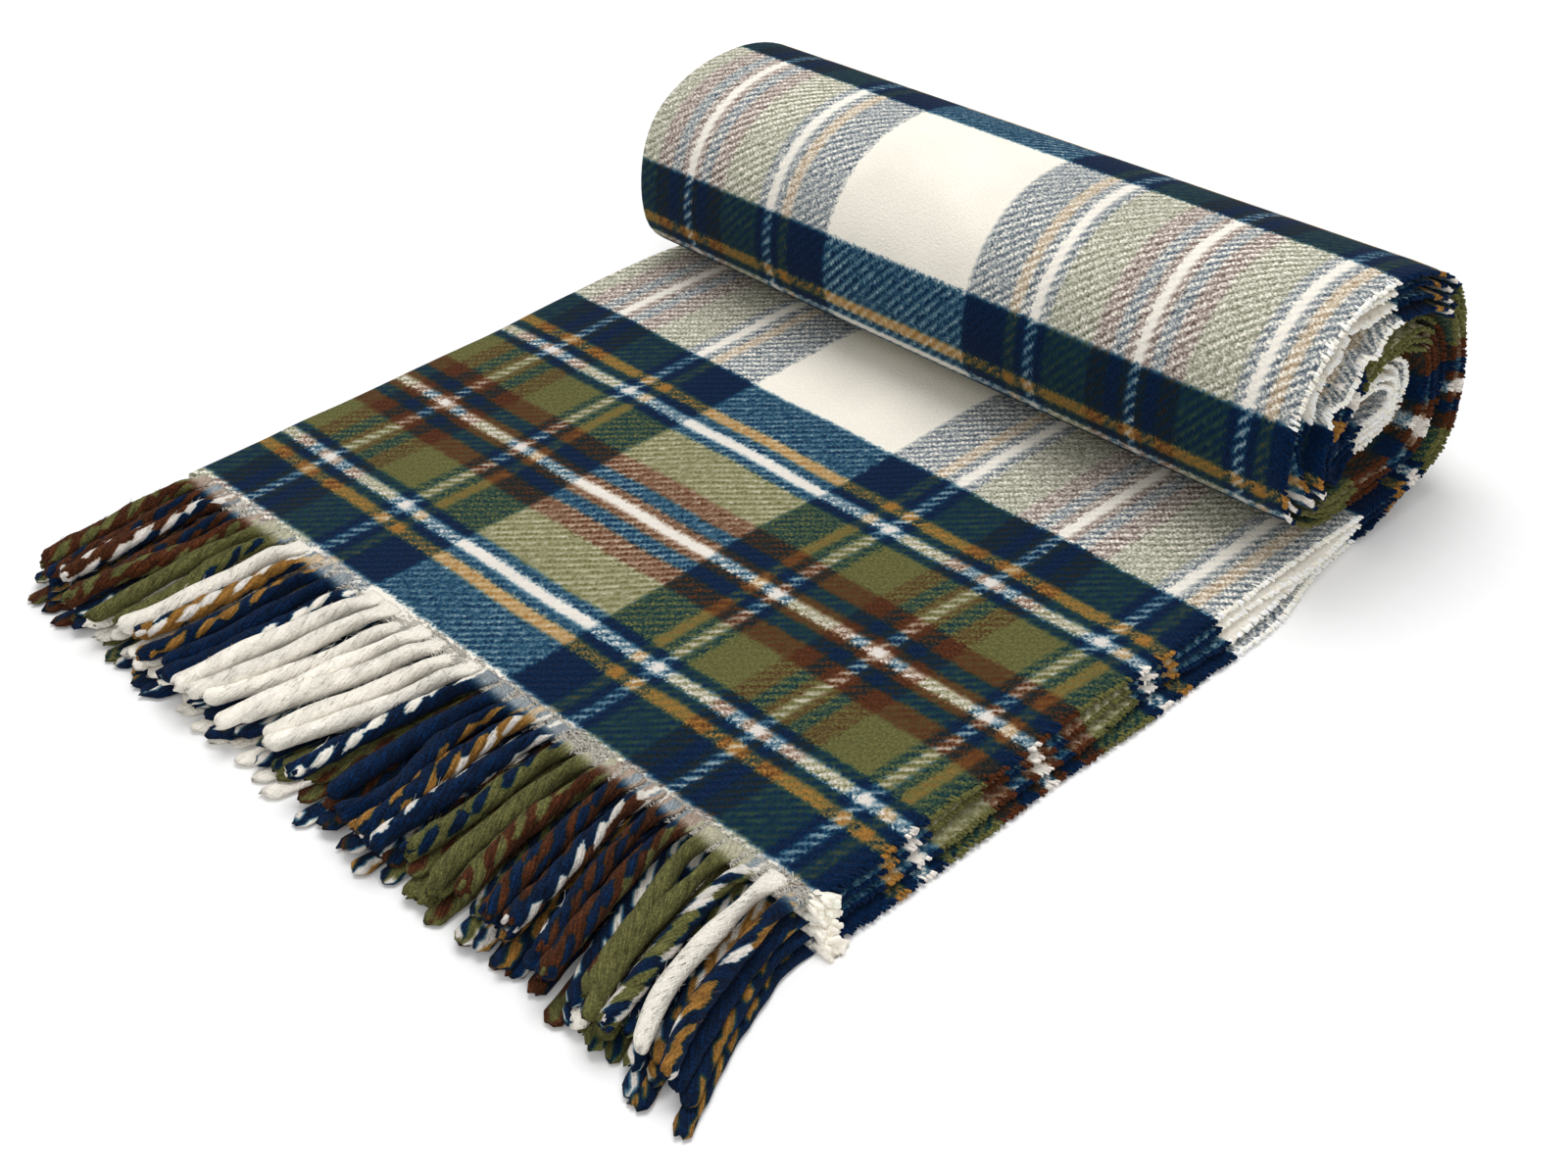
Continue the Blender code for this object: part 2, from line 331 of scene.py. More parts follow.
class Graph:
    """A material's node tree, with short calls for the nodes that wool needs."""

    def __init__(self, name):
        self.material = bpy.data.materials.new(name)
        self.material.use_nodes = True
        self.tree = self.material.node_tree
        self.shader = self.tree.nodes["Principled BSDF"]

    def node(self, kind, **settings):
        made = self.tree.nodes.new(kind)
        for key, value in settings.items():
            setattr(made, key, value)
        return made

    def feed(self, socket, value):
        if isinstance(value, bpy.types.NodeSocket):
            self.tree.links.new(value, socket)
        else:
            socket.default_value = value

    def math(self, operation, *values, clamp=False):
        made = self.node("ShaderNodeMath", operation=operation, use_clamp=clamp)
        for socket, value in zip(made.inputs, values):
            self.feed(socket, value)
        return made.outputs[0]

    def remap(self, value, low, high, to_low=0.0, to_high=1.0, smooth=False):
        made = self.node("ShaderNodeMapRange")
        if smooth:
            made.interpolation_type = "SMOOTHSTEP"
        for socket, number in zip(made.inputs, (value, low, high, to_low, to_high)):
            self.feed(socket, number)
        return made.outputs[0]

    def attribute(self, name):
        return self.node("ShaderNodeAttribute", attribute_name=name)

    def noise(self, where, scale, detail=2.0, roughness=0.5):
        """Noise about zero, from -0.5 to 0.5."""
        made = self.node("ShaderNodeTexNoise")
        self.feed(made.inputs["Vector"], where)
        self.feed(made.inputs["Scale"], scale)
        self.feed(made.inputs["Detail"], detail)
        self.feed(made.inputs["Roughness"], roughness)
        return self.math("SUBTRACT", made.outputs["Fac"], 0.5)

    def stretch(self, where, scale):
        made = self.node("ShaderNodeVectorMath", operation="MULTIPLY")
        self.feed(made.inputs[0], where)
        made.inputs[1].default_value = scale
        return made.outputs[0]

    def mix(self, share, first, second):
        made = self.node("ShaderNodeMix", data_type="RGBA")
        self.feed(made.inputs["Factor"], share)
        self.feed(made.inputs["A"], first)
        self.feed(made.inputs["B"], second)
        return made.outputs["Result"]

    def stripes(self, distance, bands, half_repeat, dyes=DYES):
        """Colour ramp across half a repeat, with soft edges."""
        ramp = self.node("ShaderNodeValToRGB")
        stops = ramp.color_ramp
        edges = [(0.0, bands[0][1])]
        for (edge, name), (_, following) in zip(bands, bands[1:]):
            edges.append(((edge - STRIPE_SOFT) / half_repeat, name))
            edges.append(((edge + STRIPE_SOFT) / half_repeat, following))
        stops.elements[0].position = 0.0
        stops.elements[0].color = (*mixable(dyes[bands[0][1]]), 1.0)
        stops.elements[1].position = 1.0
        stops.elements[1].color = (*mixable(dyes[bands[-1][1]]), 1.0)
        for position, name in edges[1:]:
            stops.elements.new(position).color = (*mixable(dyes[name]), 1.0)
        self.feed(ramp.inputs["Fac"], self.math("DIVIDE", distance, half_repeat))
        return ramp.outputs["Color"]

    def darkness(self, colour):
        """Near 1 for dark wool, near 0 for cream; colour is a mixable one."""
        grey = self.node("ShaderNodeRGBToBW")
        self.feed(grey.inputs["Color"], colour)
        return self.remap(grey.outputs["Val"], 0.3, 0.95, 1.0, 0.08)

    def wool_surface(self, colour, shade, height, bump):
        """Rough matt wool with the soft edge light of a brushed nap; colour is a mixable one."""
        tone = self.node("ShaderNodeVectorMath", operation="SCALE")
        self.feed(tone.inputs[0], colour)
        self.feed(tone.inputs["Scale"], shade)
        gamma = self.node("ShaderNodeGamma")
        gamma.inputs["Gamma"].default_value = 2.2 / MIX_POWER
        self.feed(gamma.inputs["Color"], tone.outputs[0])
        self.feed(self.shader.inputs["Base Color"], gamma.outputs[0])
        self.shader.inputs["Roughness"].default_value = 0.92
        self.shader.inputs["Specular IOR Level"].default_value = 0.05
        self.shader.inputs["Sheen Weight"].default_value = 0.035
        self.shader.inputs["Sheen Roughness"].default_value = 0.55
        made = self.node("ShaderNodeBump")
        made.inputs["Strength"].default_value = 1.0
        made.inputs["Distance"].default_value = bump
        self.feed(made.inputs["Height"], height)
        self.feed(self.shader.inputs["Normal"], made.outputs["Normal"])


def tartan_material():
    """Brushed 2/2 twill. The weave attribute holds the place across the warp, the place along the
    weft's repeat, and the place along the whole cloth, which sets the lean of the twill."""
    g = Graph("tartan_wool")
    weave = g.attribute("weave").outputs["Vector"]
    split = g.node("ShaderNodeSeparateXYZ")
    g.feed(split.inputs[0], weave)
    across, repeat, along = split.outputs
    flat = g.node("ShaderNodeCombineXYZ")
    g.feed(flat.inputs[0], across)
    g.feed(flat.inputs[1], along)
    cloth = flat.outputs[0]

    nap = g.noise(cloth, 900.0, 3.0, 0.7)
    tuft = g.noise(g.stretch(cloth, (1.0, 0.6, 1.0)), 420.0, 2.0, 0.6)
    patch = g.noise(cloth, 150.0, 2.0)
    drift = g.noise(cloth, 24.0, 2.0)

    # stripes, with edges that the nap has dragged about
    pull = g.math("ADD", g.math("MULTIPLY", tuft, 0.0032), g.math("MULTIPLY", nap, 0.0046))
    warp_place = g.math("SUBTRACT", g.math("ADD", across, pull), WARP_PIVOT)
    warp_at = g.math("PINGPONG", warp_place, WARP_REPEAT / 2)
    weft_at = g.math("PINGPONG", g.math("ADD", repeat, pull), WEFT_REPEAT / 2)
    plain = g.stripes(warp_at, WARP_BANDS, WARP_REPEAT / 2)
    hazed = g.stripes(warp_at, WARP_BANDS, WARP_REPEAT / 2, HAZED)
    cream_weft = g.remap(weft_at, CREAM_START - STRIPE_SOFT, CREAM_START + STRIPE_SOFT)
    warp = g.mix(cream_weft, plain, hazed)
    weft = g.stripes(weft_at, WEFT_BANDS, WEFT_REPEAT / 2)

    # twill: ribs across the lean, broken into floats along it, and partly hidden by the nap
    lean = g.math("ADD", g.math("SUBTRACT", across, along), g.math("MULTIPLY", tuft, 0.0042))
    rib = g.math("PINGPONG", g.math("DIVIDE", lean, 2 * YARN_PITCH), 1.0)
    rib = g.remap(rib, 0.05, 0.95, smooth=True)
    run = g.math("ADD", g.math("ADD", across, along), g.math("MULTIPLY", tuft, 0.0030))
    bead = g.math("PINGPONG", g.math("DIVIDE", run, YARN_PITCH), 1.0)
    thread = g.math("MULTIPLY", rib, g.remap(bead, 0.0, 1.0, 0.50, 1.0))
    # the white stripes stay dashed where they cross dark wool
    brushed = g.remap(g.math("ADD", patch, drift), -0.22, 0.22, 0.12, 0.64)
    in_middle = g.math("LESS_THAN", warp_at, WARP_BANDS[0][0])
    side_low, side_high = WARP_BANDS[5][0], WARP_BANDS[6][0]
    in_side = g.math("COMPARE", warp_at, (side_low + side_high) / 2, 0.0026)
    dashed = g.math("MULTIPLY_ADD", g.math("ADD", in_middle, in_side), 0.42, brushed)
    swing = g.math("MULTIPLY", g.math("SUBTRACT", thread, 0.38), dashed)
    loose = g.math("ADD", g.math("MULTIPLY", nap, 1.55), g.math("MULTIPLY", tuft, 0.75))
    share = g.math("ADD", g.math("ADD", swing, 0.66), loose, clamp=True)
    blend = g.mix(share, warp, weft)

    # pale wool hides its own grain and weave, dark wool shows them
    shown = g.darkness(blend)
    shade = g.math("ADD", g.math("MULTIPLY", nap, shown), g.math("MULTIPLY", drift, 0.06))
    ribbed = g.math("MULTIPLY", thread, shown)
    # painted shade: the twill's grooves are darker in colour than its ribs, as well as lower in the
    # bump
    shade = g.math("ADD", shade, g.math("MULTIPLY_ADD", ribbed, 0.05, 0.998))
    height = g.math("MULTIPLY_ADD", ribbed, 0.60, g.math("MULTIPLY", nap, 1.1))
    g.wool_surface(blend, shade, height, 0.0005)
    return g.material


def cord_material(name, bump):
    """Spun wool in the colour given point by point: each yarn's dye, with painted shade in the grooves
    of the cords and painted light on the selvedge tails. The lay attribute's third part runs along the
    fibres.
    """
    g = Graph(name)
    dye = g.attribute("dye").outputs["Color"]
    lay = g.attribute("lay").outputs["Vector"]
    fibre = g.noise(g.stretch(lay, (1.0, 1.0, 0.12)), 1300.0, 2.0, 0.6)
    where = g.node("ShaderNodeTexCoord").outputs["Object"]
    fluff = g.noise(where, 1100.0, 3.0, 0.65)
    grain = g.math("MULTIPLY_ADD", fibre, 0.90, g.math("MULTIPLY", fluff, 0.95))
    shade = g.math("MULTIPLY", grain, g.math("ADD", g.darkness(dye), 0.03))
    height = g.math("MULTIPLY_ADD", fibre, 0.6, fluff)
    # painted light: the base of 1.02 lifts every cord and tail a little above its dye, against the
    # shade that falls between them
    g.wool_surface(dye, g.math("ADD", shade, 1.02), height, bump)
    return g.material


def band_dye(place_in, bands, repeat):
    """Dye of the stripe at a distance from a pivot line."""
    distance = abs((place_in + repeat / 2) % repeat - repeat / 2)
    for edge, name in bands:
        if distance <= edge:
            return DYES[name]
    return DYES[bands[-1][1]]


def warp_dye(x):
    return band_dye(x - WARP_PIVOT, WARP_BANDS, WARP_REPEAT)


def weft_dye(along):
    return band_dye(along, WEFT_BANDS, WEFT_REPEAT)


# ---------------------------------------------------------------- cloth

HALF_COLUMNS = 50
CREASE_COLUMNS = 7
FLAP_ROWS = 62
ROLL_ROWS = 138
END_ROWS = 9
FINE_ROWS_FROM = -0.012    # run from the nip where the roll's closer rows begin
THIN = 0.45                # share of its thickness that the cloth loses at a selvedge


def cloth_rows():
    """For each row of the cloth: run from the nip, and the turn about the end fold (0 to pi)."""
    flap = np.linspace(HEM_Y - NIP_Y, FINE_ROWS_FROM, FLAP_ROWS, endpoint=False)
    rolled = np.linspace(FINE_ROWS_FROM, ROLLED, ROLL_ROWS)
    fold = np.linspace(0, math.pi, END_ROWS + 2)[1:-1]
    run = np.concatenate([flap, rolled, np.full(END_ROWS, ROLLED), rolled[::-1], flap[::-1]])
    count = FLAP_ROWS + ROLL_ROWS
    turn = np.concatenate([np.zeros(count), fold, np.full(count, math.pi)])
    return run, turn


def cloth_columns():
    """For each column: share of the way from crease to selvedge, and the turn about the crease."""
    share = np.concatenate([[1.0, 0.992, 0.983], np.linspace(0.965, 0, HALF_COLUMNS - 3)])
    fold = np.linspace(0, math.pi, CREASE_COLUMNS + 2)[1:-1]
    shares = np.concatenate([share, np.zeros(CREASE_COLUMNS), share[::-1]])
    turns = np.concatenate([np.zeros(HALF_COLUMNS), fold, np.full(HALF_COLUMNS, math.pi)])
    return shares, turns


def layer_level(crease_turn, end_turn):
    """Height in the pile of the middle of the cloth, and how far it overruns the end fold's line."""
    from_middle = LAYER + 0.5 * LAYER * np.cos(crease_turn)
    return 2 * LAYER + from_middle * np.cos(end_turn), from_middle * np.sin(end_turn)


def edges_at(run, depth):
    """Crease and selvedge X at a run; depth counts layers down from the top, 0 to 3."""
    y = NIP_Y + np.minimum(run, 0)
    rolled = smooth_step((run + 0.03) / 0.07)
    crease = CREASE_X + CREASE_DRIFT * (NIP_Y - y) / (NIP_Y - HEM_Y)
    crease = crease + (ROLL_CREASE_X - crease) * rolled
    selvedge = SELVEDGE_X + SELVEDGE_STEP * depth
    selvedge = selvedge + (ROLL_SELVEDGE_X + ROLL_SELVEDGE_STEP * (3 - depth) - selvedge) * rolled
    wander = 0.0010 * waves(11, run, depth * 0.35, scale=0.11)
    return crease + 0.5 * wander, selvedge + wander


def flap_waves(x, y):
    """Slow rise and fall of the pile where it lies flat."""
    return 0.045 * waves(3, x, y, scale=0.16, count=5)


def looseness(run, x):
    """0 where the roll is tight, 1 at the selvedge end over the front and top of its outer wrap."""
    turn = np.interp(run, PATH_LENGTH, PATH_TURN)
    angle = np.mod(turn, 1.0)
    front = np.exp(-((angle - 0.37) / 0.13) ** 2)
    return front * smooth_step((x - 0.07) / 0.12) * smooth_step((run - 0.02) / 0.05)


def loosened(run, x, depth_in, depth):
    """How far a layer sinks towards the core, and how far its selvedge draws in. The outer layer
    stays, the next ones fall away in waves."""
    loose = looseness(run, x)
    fall = smooth_step(depth_in / 0.012) * (1 - smooth_step((depth_in - 0.016) / 0.034))
    sway = 0.30 * np.sin(run / 0.0052 + 2.1 * depth) + 0.16 * np.sin(run / 0.0031 + 1.3 * depth)
    drawn = np.exp(-((depth_in - 0.0055) / 0.0032) ** 2)
    core = smooth_step((depth_in - 0.021) / 0.016) * smooth_step(x / 0.15)
    return loose * FALL * fall * (1 + sway), loose * DRAWN * drawn + CORE_DRAWN * core


def cloth_place(run, share, crease_turn, end_turn):
    """Middle surface of the cloth in plan coordinates."""
    level, overrun = layer_level(crease_turn, end_turn)
    depth = np.clip((3.5 * LAYER - level) / LAYER, 0, 3)
    crease, selvedge = edges_at(run, depth)
    x = crease + share * (selvedge - crease) - 0.5 * LAYER * np.sin(crease_turn)
    flat = smooth_step((-run + 0.002) / 0.03)
    ripple = flap_waves(x, NIP_Y + run) * flat
    hem_shift = HEM_STEP * depth * smooth_step((-run - 0.15) / 0.10)
    point, normal = on_path(run + overrun)
    turn = np.interp(run, PATH_LENGTH, PATH_TURN)
    depth_in = wrap_depth(turn) * WRAP_PITCH + level - 0.5 * LAYER
    sunk, drawn = loosened(run, x, depth_in, depth)
    x = x - drawn * share ** 4
    height = level * (1 + ripple) + sunk
    y = point[..., 0] + normal[..., 0] * height - hem_shift
    z = point[..., 1] + normal[..., 1] * height
    rolled = smooth_step((run + 0.01) / 0.04)
    flare = 1 + ROLL_FLARE * x * rolled
    reach = y - NIP_Y
    skew = ROLL_SKEW * x * smooth_step(reach / 0.04)
    y = NIP_Y + reach * flare + skew * rolled
    z = z * flare
    return np.stack([x, y, z], axis=-1)


def cloth_weave(run, share, crease_turn, end_turn):
    """Across the warp, along the repeat, and along the whole cloth."""
    width = SELVEDGE_X - CREASE_X
    first_half = crease_turn < 1e-6
    second_half = crease_turn > math.pi - 1e-6
    across = CREASE_X - 0.25 * LAYER * (crease_turn - math.pi / 2)
    across = np.where(first_half, CREASE_X + 0.25 * LAYER * math.pi / 2 + share * width, across)
    across = np.where(second_half, CREASE_X - 0.25 * LAYER * math.pi / 2 - share * width, across)
    repeat = pattern_run(run)
    half_length = pattern_run(ROLLED)
    along = np.where(end_turn < math.pi / 2, repeat, 2 * half_length - repeat)
    return np.stack([across, repeat, along], axis=-1)


def grid_normals(points):
    down = np.gradient(points, axis=0)
    right = np.gradient(points, axis=1)
    return unit(np.cross(right, down))


def add_cloth(material):
    """The whole cloth as one closed shell, doubled at the crease and at the end fold."""
    run, end_turn = cloth_rows()
    share, crease_turn = cloth_columns()
    runs, shares = np.meshgrid(run, share, indexing="ij")
    end_turns, crease_turns = np.meshgrid(end_turn, crease_turn, indexing="ij")
    middle = cloth_place(runs, shares, crease_turns, end_turns)
    weave = cloth_weave(runs, shares, crease_turns, end_turns).reshape(-1, 3)
    rows, columns = middle.shape[:2]

    thickness = CLOTH / 2 * (1 - THIN * smooth_step((shares - 0.975) / 0.02))
    half = grid_normals(middle) * thickness[..., None]
    points = np.concatenate([(middle + half).reshape(-1, 3), (middle - half).reshape(-1, 3)])

    faces = []
    count = rows * columns
    for i in range(rows - 1):
        for j in range(columns - 1):
            a, b = i * columns + j, i * columns + j + 1
            c, d = a + columns, b + columns
            faces.append((a, b, d, c))
            faces.append((count + a, count + c, count + d, count + b))
    border = list(range(columns))
    border += [i * columns + columns - 1 for i in range(1, rows)]
    border += [(rows - 1) * columns + j for j in range(columns - 2, -1, -1)]
    border += [i * columns for i in range(rows - 2, 0, -1)]
    for a, b in zip(border, border[1:] + border[:1]):
        faces.append((b, a, count + a, count + b))
    attributes = {"weave": ("FLOAT_VECTOR", np.concatenate([weave, weave]))}
    return make_object("woven_cloth", points, faces, material, attributes)


# ---------------------------------------------------------------- selvedge tufts

TUFT_PITCH = 0.0018
TUFT_LENGTH = 0.0019
TUFT_ROOT = 0.0022         # how far a tail starts inside the cloth
HEADER = 0.008             # the cream picks at each end of the cloth, with longer tails
# the top factor of each tail's dye is painted light, lifting tails that lie in shade
WEFT_TAIL = {"count": 3, "long": 1.0, "stout": 1.0, "spread": 1.0, "painted_light_top": 1.18}
HEADER_TAIL = {"count": 6, "long": 2.9, "stout": 2.1, "spread": 2.4, "painted_light_top": 1.06}


def add_tufts(material):
    """Cut weft tails along the four selvedges, each in the colour of the weft there, varied at random
    and lifted by painted light.
    """
    rng = np.random.default_rng(7)
    tubes = Strands()
    for quarter in (1, 2, 3, 4):
        crease_turn = 0.0 if quarter in (1, 4) else math.pi
        end_turn = 0.0 if quarter < 3 else math.pi
        runs = np.arange(HEM_Y - NIP_Y + 0.001, ROLLED, TUFT_PITCH)
        runs = runs + rng.uniform(-0.0005, 0.0005, len(runs))
        ones = np.ones(len(runs))
        spots = cloth_place(runs, ones, crease_turn * ones, end_turn * ones)
        inner = cloth_place(runs, 0.985 * ones, crease_turn * ones, end_turn * ones)
        ahead = cloth_place(runs + 0.001, ones, crease_turn * ones, end_turn * ones)
        outward = unit(spots - inner)
        along = unit(ahead - spots)
        up = np.cross(outward, along)
        for i, spot in enumerate(spots):
            header = runs[i] < HEM_Y - NIP_Y + HEADER
            tail = HEADER_TAIL if header else WEFT_TAIL
            dye = np.array(DYES["cream"] if header else weft_dye(pattern_run(runs[i])))
            spread = tail["spread"]
            for _ in range(tail["count"]):
                length = TUFT_LENGTH * rng.uniform(0.75, 1.15) * tail["long"] + TUFT_ROOT
                root = spot - outward[i] * TUFT_ROOT
                root = root + along[i] * rng.normal() * 0.0003 + up[i] * rng.normal() * 0.0002 * spread
                lean = outward[i] + along[i] * (0.22 + rng.normal() * 0.10 * spread)
                lean = lean + up[i] * rng.normal() * 0.06 * spread
                lean = lean / np.linalg.norm(lean)
                bend = along[i] * rng.normal() * 0.0003 + up[i] * rng.normal() * 0.0003
                t = np.array([0.0, 0.6, 1.0])[:, None]
                line = root + lean * length * t + bend * spread * t * t
                # painted light: the tail's dye varies at random and is raised above the cloth's, up to
                # the tail's top factor, to brighten tails that face away from the lamps
                shade = np.minimum(dye * rng.uniform(0.98, tail["painted_light_top"]), BRIGHTEST)
                radius = np.array((0.00052, 0.00058, 0.00044)) * tail["stout"]
                tubes.add_tube(line, radius, shade, 5)
    return tubes.finish("selvedge_tufts", material)


# ---------------------------------------------------------------- fringe

# Where a tassel starts along the hem, and how far aside its tip lies
SPLAY = (
    (-0.150, 0.0040),
    (-0.100, -0.0020),
    (-0.060, -0.0070),
    (-0.030, -0.0120),
    (0.000, -0.0145),
    (0.036, -0.0125),
    (0.046, -0.0040),
    (0.060, 0.0000),
    (0.100, 0.0100),
    (0.150, 0.0200),
    (0.200, 0.0235),
)
DOME = 0.0030              # length over which a cord's tip rounds off
YARNS = 8                  # warp ends in one tassel
GIRTH = 0.0250             # round one cord
LONE_WHITE = (8, 35)       # tassels twisted from a white stripe alone
MIXED_LIGHT = 2            # most light ends in any other tassel
HAIRS = 90                 # loose hairs on one cord
HEADER_HAIRS = 95          # and on the cream picks above it
LEFT_LAY = {
    "lean": math.radians(-30),     # of the spots where a yarn shows, against the cord
    "plies": 2,
    "turn": 0.026,                 # length in which a ply goes once round the cord
    "step": 0.0029,                # from one spot to the next along a ply
    "long": 0.0060,                # half size of a spot
    "wide": 0.0019,
}
RIGHT_LAY = {
    "lean": math.radians(29),
    "plies": 7,
    "turn": 0.0451,
    "step": 0.0115,
    "long": 0.0064,
    "wide": 0.0020,
}
RIGHT_LAID = 3             # how many tassels at the selvedge are twisted the other way
TOP_CORD = {
    "rings": 88,
    "sides": 32,
    "wide": 0.0079,
    "high": 0.0068,
    "relief": 0.085,               # how much the spots stand out
    "neck": 0.40,                  # how much the cord narrows below the hem
    "header": 0.55,                # how much cream fluff hides the warp ends
}
LOW_CORD = {
    "rings": 40,
    "sides": 14,
    "wide": 0.0086,
    "high": 0.0027,
    "relief": 0.05,
    "neck": 0.20,
    "header": 0.0,
}


def splay(x):
    return np.interp(x, [spot for spot, _ in SPLAY], [shift for _, shift in SPLAY])


def row_level(level, y):
    """Underside of a row of tassels; level counts rows up from the floor."""
    return level * (LAYER + (TIP_PITCH - LAYER) * (HEM_Y - y) / FRINGE_REACH)


def hem_y(quarter):
    return HEM_Y - HEM_STEP * (quarter - 1)


def row_roots(quarter):
    """Pitch of a row's tassels, and the X where each starts."""
    left = CREASE_X + CREASE_DRIFT + 0.0015
    pitch = (SELVEDGE_X + SELVEDGE_STEP * (quarter - 1) - left) / TASSELS
    return pitch, left + (np.arange(TASSELS) + 0.5) * pitch


def surfacing_yarns(around, run, lay, rng):
    """For each point of a plied cord the yarn that shows there, and how proud it stands. Yarns
    surface as slanting spots, one after the other along each ply."""
    count = int(run.max() / lay["step"]) + 5
    number = np.tile(np.arange(count), lay["plies"])
    ply = np.repeat(np.arange(lay["plies"]), count)
    spot_run = (number - 2 + rng.normal(0, 0.14, len(ply)) + ply * 0.37) * lay["step"]
    spot_around = GIRTH * (spot_run / lay["turn"] + ply / lay["plies"])
    spot_around = spot_around + rng.normal(0, 0.0004, len(ply))
    aside = np.mod(around[..., None] - spot_around + GIRTH / 2, GIRTH) - GIRTH / 2
    ahead = run[:, None, None] - spot_run
    along = aside * math.sin(lay["lean"]) + ahead * math.cos(lay["lean"])
    across = aside * math.cos(lay["lean"]) - ahead * math.sin(lay["lean"])
    far = (along / lay["long"]) ** 2 + (across / lay["wide"]) ** 2
    nearest = far.argmin(-1)
    yarn = np.mod(5 * number + 4 * ply, YARNS)
    return yarn[nearest], 1 - np.minimum(far.min(-1), 1.6)


def cord(form, lay, root, length, pitch, sideways, base_level, dyes, rng):
    """One tassel: flat warp ends at the hem that turn into a plied cord."""
    t = np.linspace(0, 1, form["rings"]) ** 0.96
    run = t * length
    gathered = smooth_step((run - 0.001) / GATHER)
    full = rng.uniform(0.88, 1.08) + 0.05 * np.sin(2 * math.pi * run / 0.031 + rng.uniform(0, 6))
    wide = 0.98 * pitch + (form["wide"] * full - 0.98 * pitch) * gathered
    wide = wide * (1 - form["neck"] * np.exp(-((run - 0.0170) / 0.0110) ** 2))
    high = form["high"] * full * (0.34 + 0.66 * gathered)
    blunt = np.sqrt(1 - 0.82 * np.clip((run - length + DOME) / DOME, 0, 1) ** 2)

    # the rings turn with the spots, so that the long edges of these follow the mesh
    start = np.arange(form["sides"]) / form["sides"] + rng.random()
    around = GIRTH * start[None, :] + math.tan(lay["lean"]) * run[:, None]
    angle = 2 * math.pi * around / GIRTH
    yarn, proud = surfacing_yarns(around, run, lay, rng)
    mixed = min(1.0, 0.15 + 4 * dyes.std(axis=0).max())
    relief = 1 + form["relief"] * mixed * gathered[:, None] * (proud - 0.5)
    plies = np.cos(2 * (angle - 2 * math.pi * run[:, None] / lay["turn"]))
    radius = (relief + 0.04 * mixed * gathered[:, None] * plies) * blunt[:, None]
    uneven = rng.normal(0, 0.0008, YARNS)[np.arange(form["sides"]) * YARNS // form["sides"]]
    near_tip = np.clip((run - length + 2 * DOME) / (2 * DOME), 0, 1) ** 2
    y = root[1] - run
    x = root[0] + sideways(t)
    z = base_level(y) + high / 2
    ring_x = x[:, None] + 0.5 * wide[:, None] * radius * np.cos(angle)
    ring_z = z[:, None] + 0.5 * high[:, None] * radius * np.sin(angle)
    ring_y = y[:, None] - near_tip[:, None] * uneven
    rings = np.stack([ring_x, ring_y, ring_z], axis=-1)

    # at the hem the warp ends still lie side by side, under the last cream picks
    flat = np.clip(np.floor((np.cos(angle) * 0.5 + 0.5) * YARNS), 0, YARNS - 1).astype(int)
    yarn = np.where((run < 0.4 * GATHER)[:, None], flat, yarn)
    # painted shade: a yarn's colour darkens where it lies low between the proud spots, in the grooves
    # of the ply
    groove_shade = 1 - 0.14 * mixed * gathered[:, None, None] * (1 - np.clip(proud + 0.3, 0, 1))[..., None]
    header = form["header"] * (1 - smooth_step((run - 0.004) / 0.007))[:, None, None]
    colours = dyes[yarn] * groove_shade
    colours = colours + (np.array(DYES["cream"]) - colours) * header
    fibres = np.empty_like(rings)
    fibres[..., 0] = GIRTH / (2 * math.pi) * np.cos(2 * math.pi * start)
    fibres[..., 1] = GIRTH / (2 * math.pi) * np.sin(2 * math.pi * start)
    fibres[..., 2] = run[:, None] + root[0]
    return rings, colours, fibres


def add_frayed_tip(strands, rings, dyes, rng):
    """The cut ends of a few yarns, just past the cord's round tip."""
    end, before = rings[-4], rings[-7]
    middle, inner = end.mean(axis=0), before.mean(axis=0)
    along = (middle - inner) / np.linalg.norm(middle - inner)
    for k in rng.permutation(YARNS)[:5]:
        edge = end[k * len(end) // YARNS]
        root = middle + (edge - middle) * 0.6 - along * 0.002
        spread = (edge - middle) * rng.uniform(-0.2, 0.2)
        tip = root + along * rng.uniform(0.0040, 0.0062) + spread
        line = [root, root + (tip - root) * 0.6, tip]
        strands.add_tube(line, (0.0012, 0.0013, 0.0009), dyes[k], 6)


def add_fuzz(strands, rings, colours, rng):
    """Loose hairs that stand off a cord, in the colour of the yarn they come from, painted groove
    shade included.
    """
    last = len(rings) - 6
    for _ in range(HAIRS):
        ring, side = rng.integers(2, last), rng.integers(rings.shape[1])
        root = rings[ring, side]
        outward = root - rings[ring].mean(axis=0)
        outward = outward / np.linalg.norm(outward)
        onward = rings[ring + 4, side] - root
        onward = onward / np.linalg.norm(onward) * rng.choice((-1.0, 1.0))
        length = rng.uniform(0.0015, 0.0040)
        t = np.array([-0.15, 0.4, 1.0])[:, None]
        line = root + onward * length * t + outward * (rng.uniform(0.10, 0.38) * length) * t
        strands.add_tube(line, (0.00009, 0.00011, 0.00006), colours[ring, side], 3)


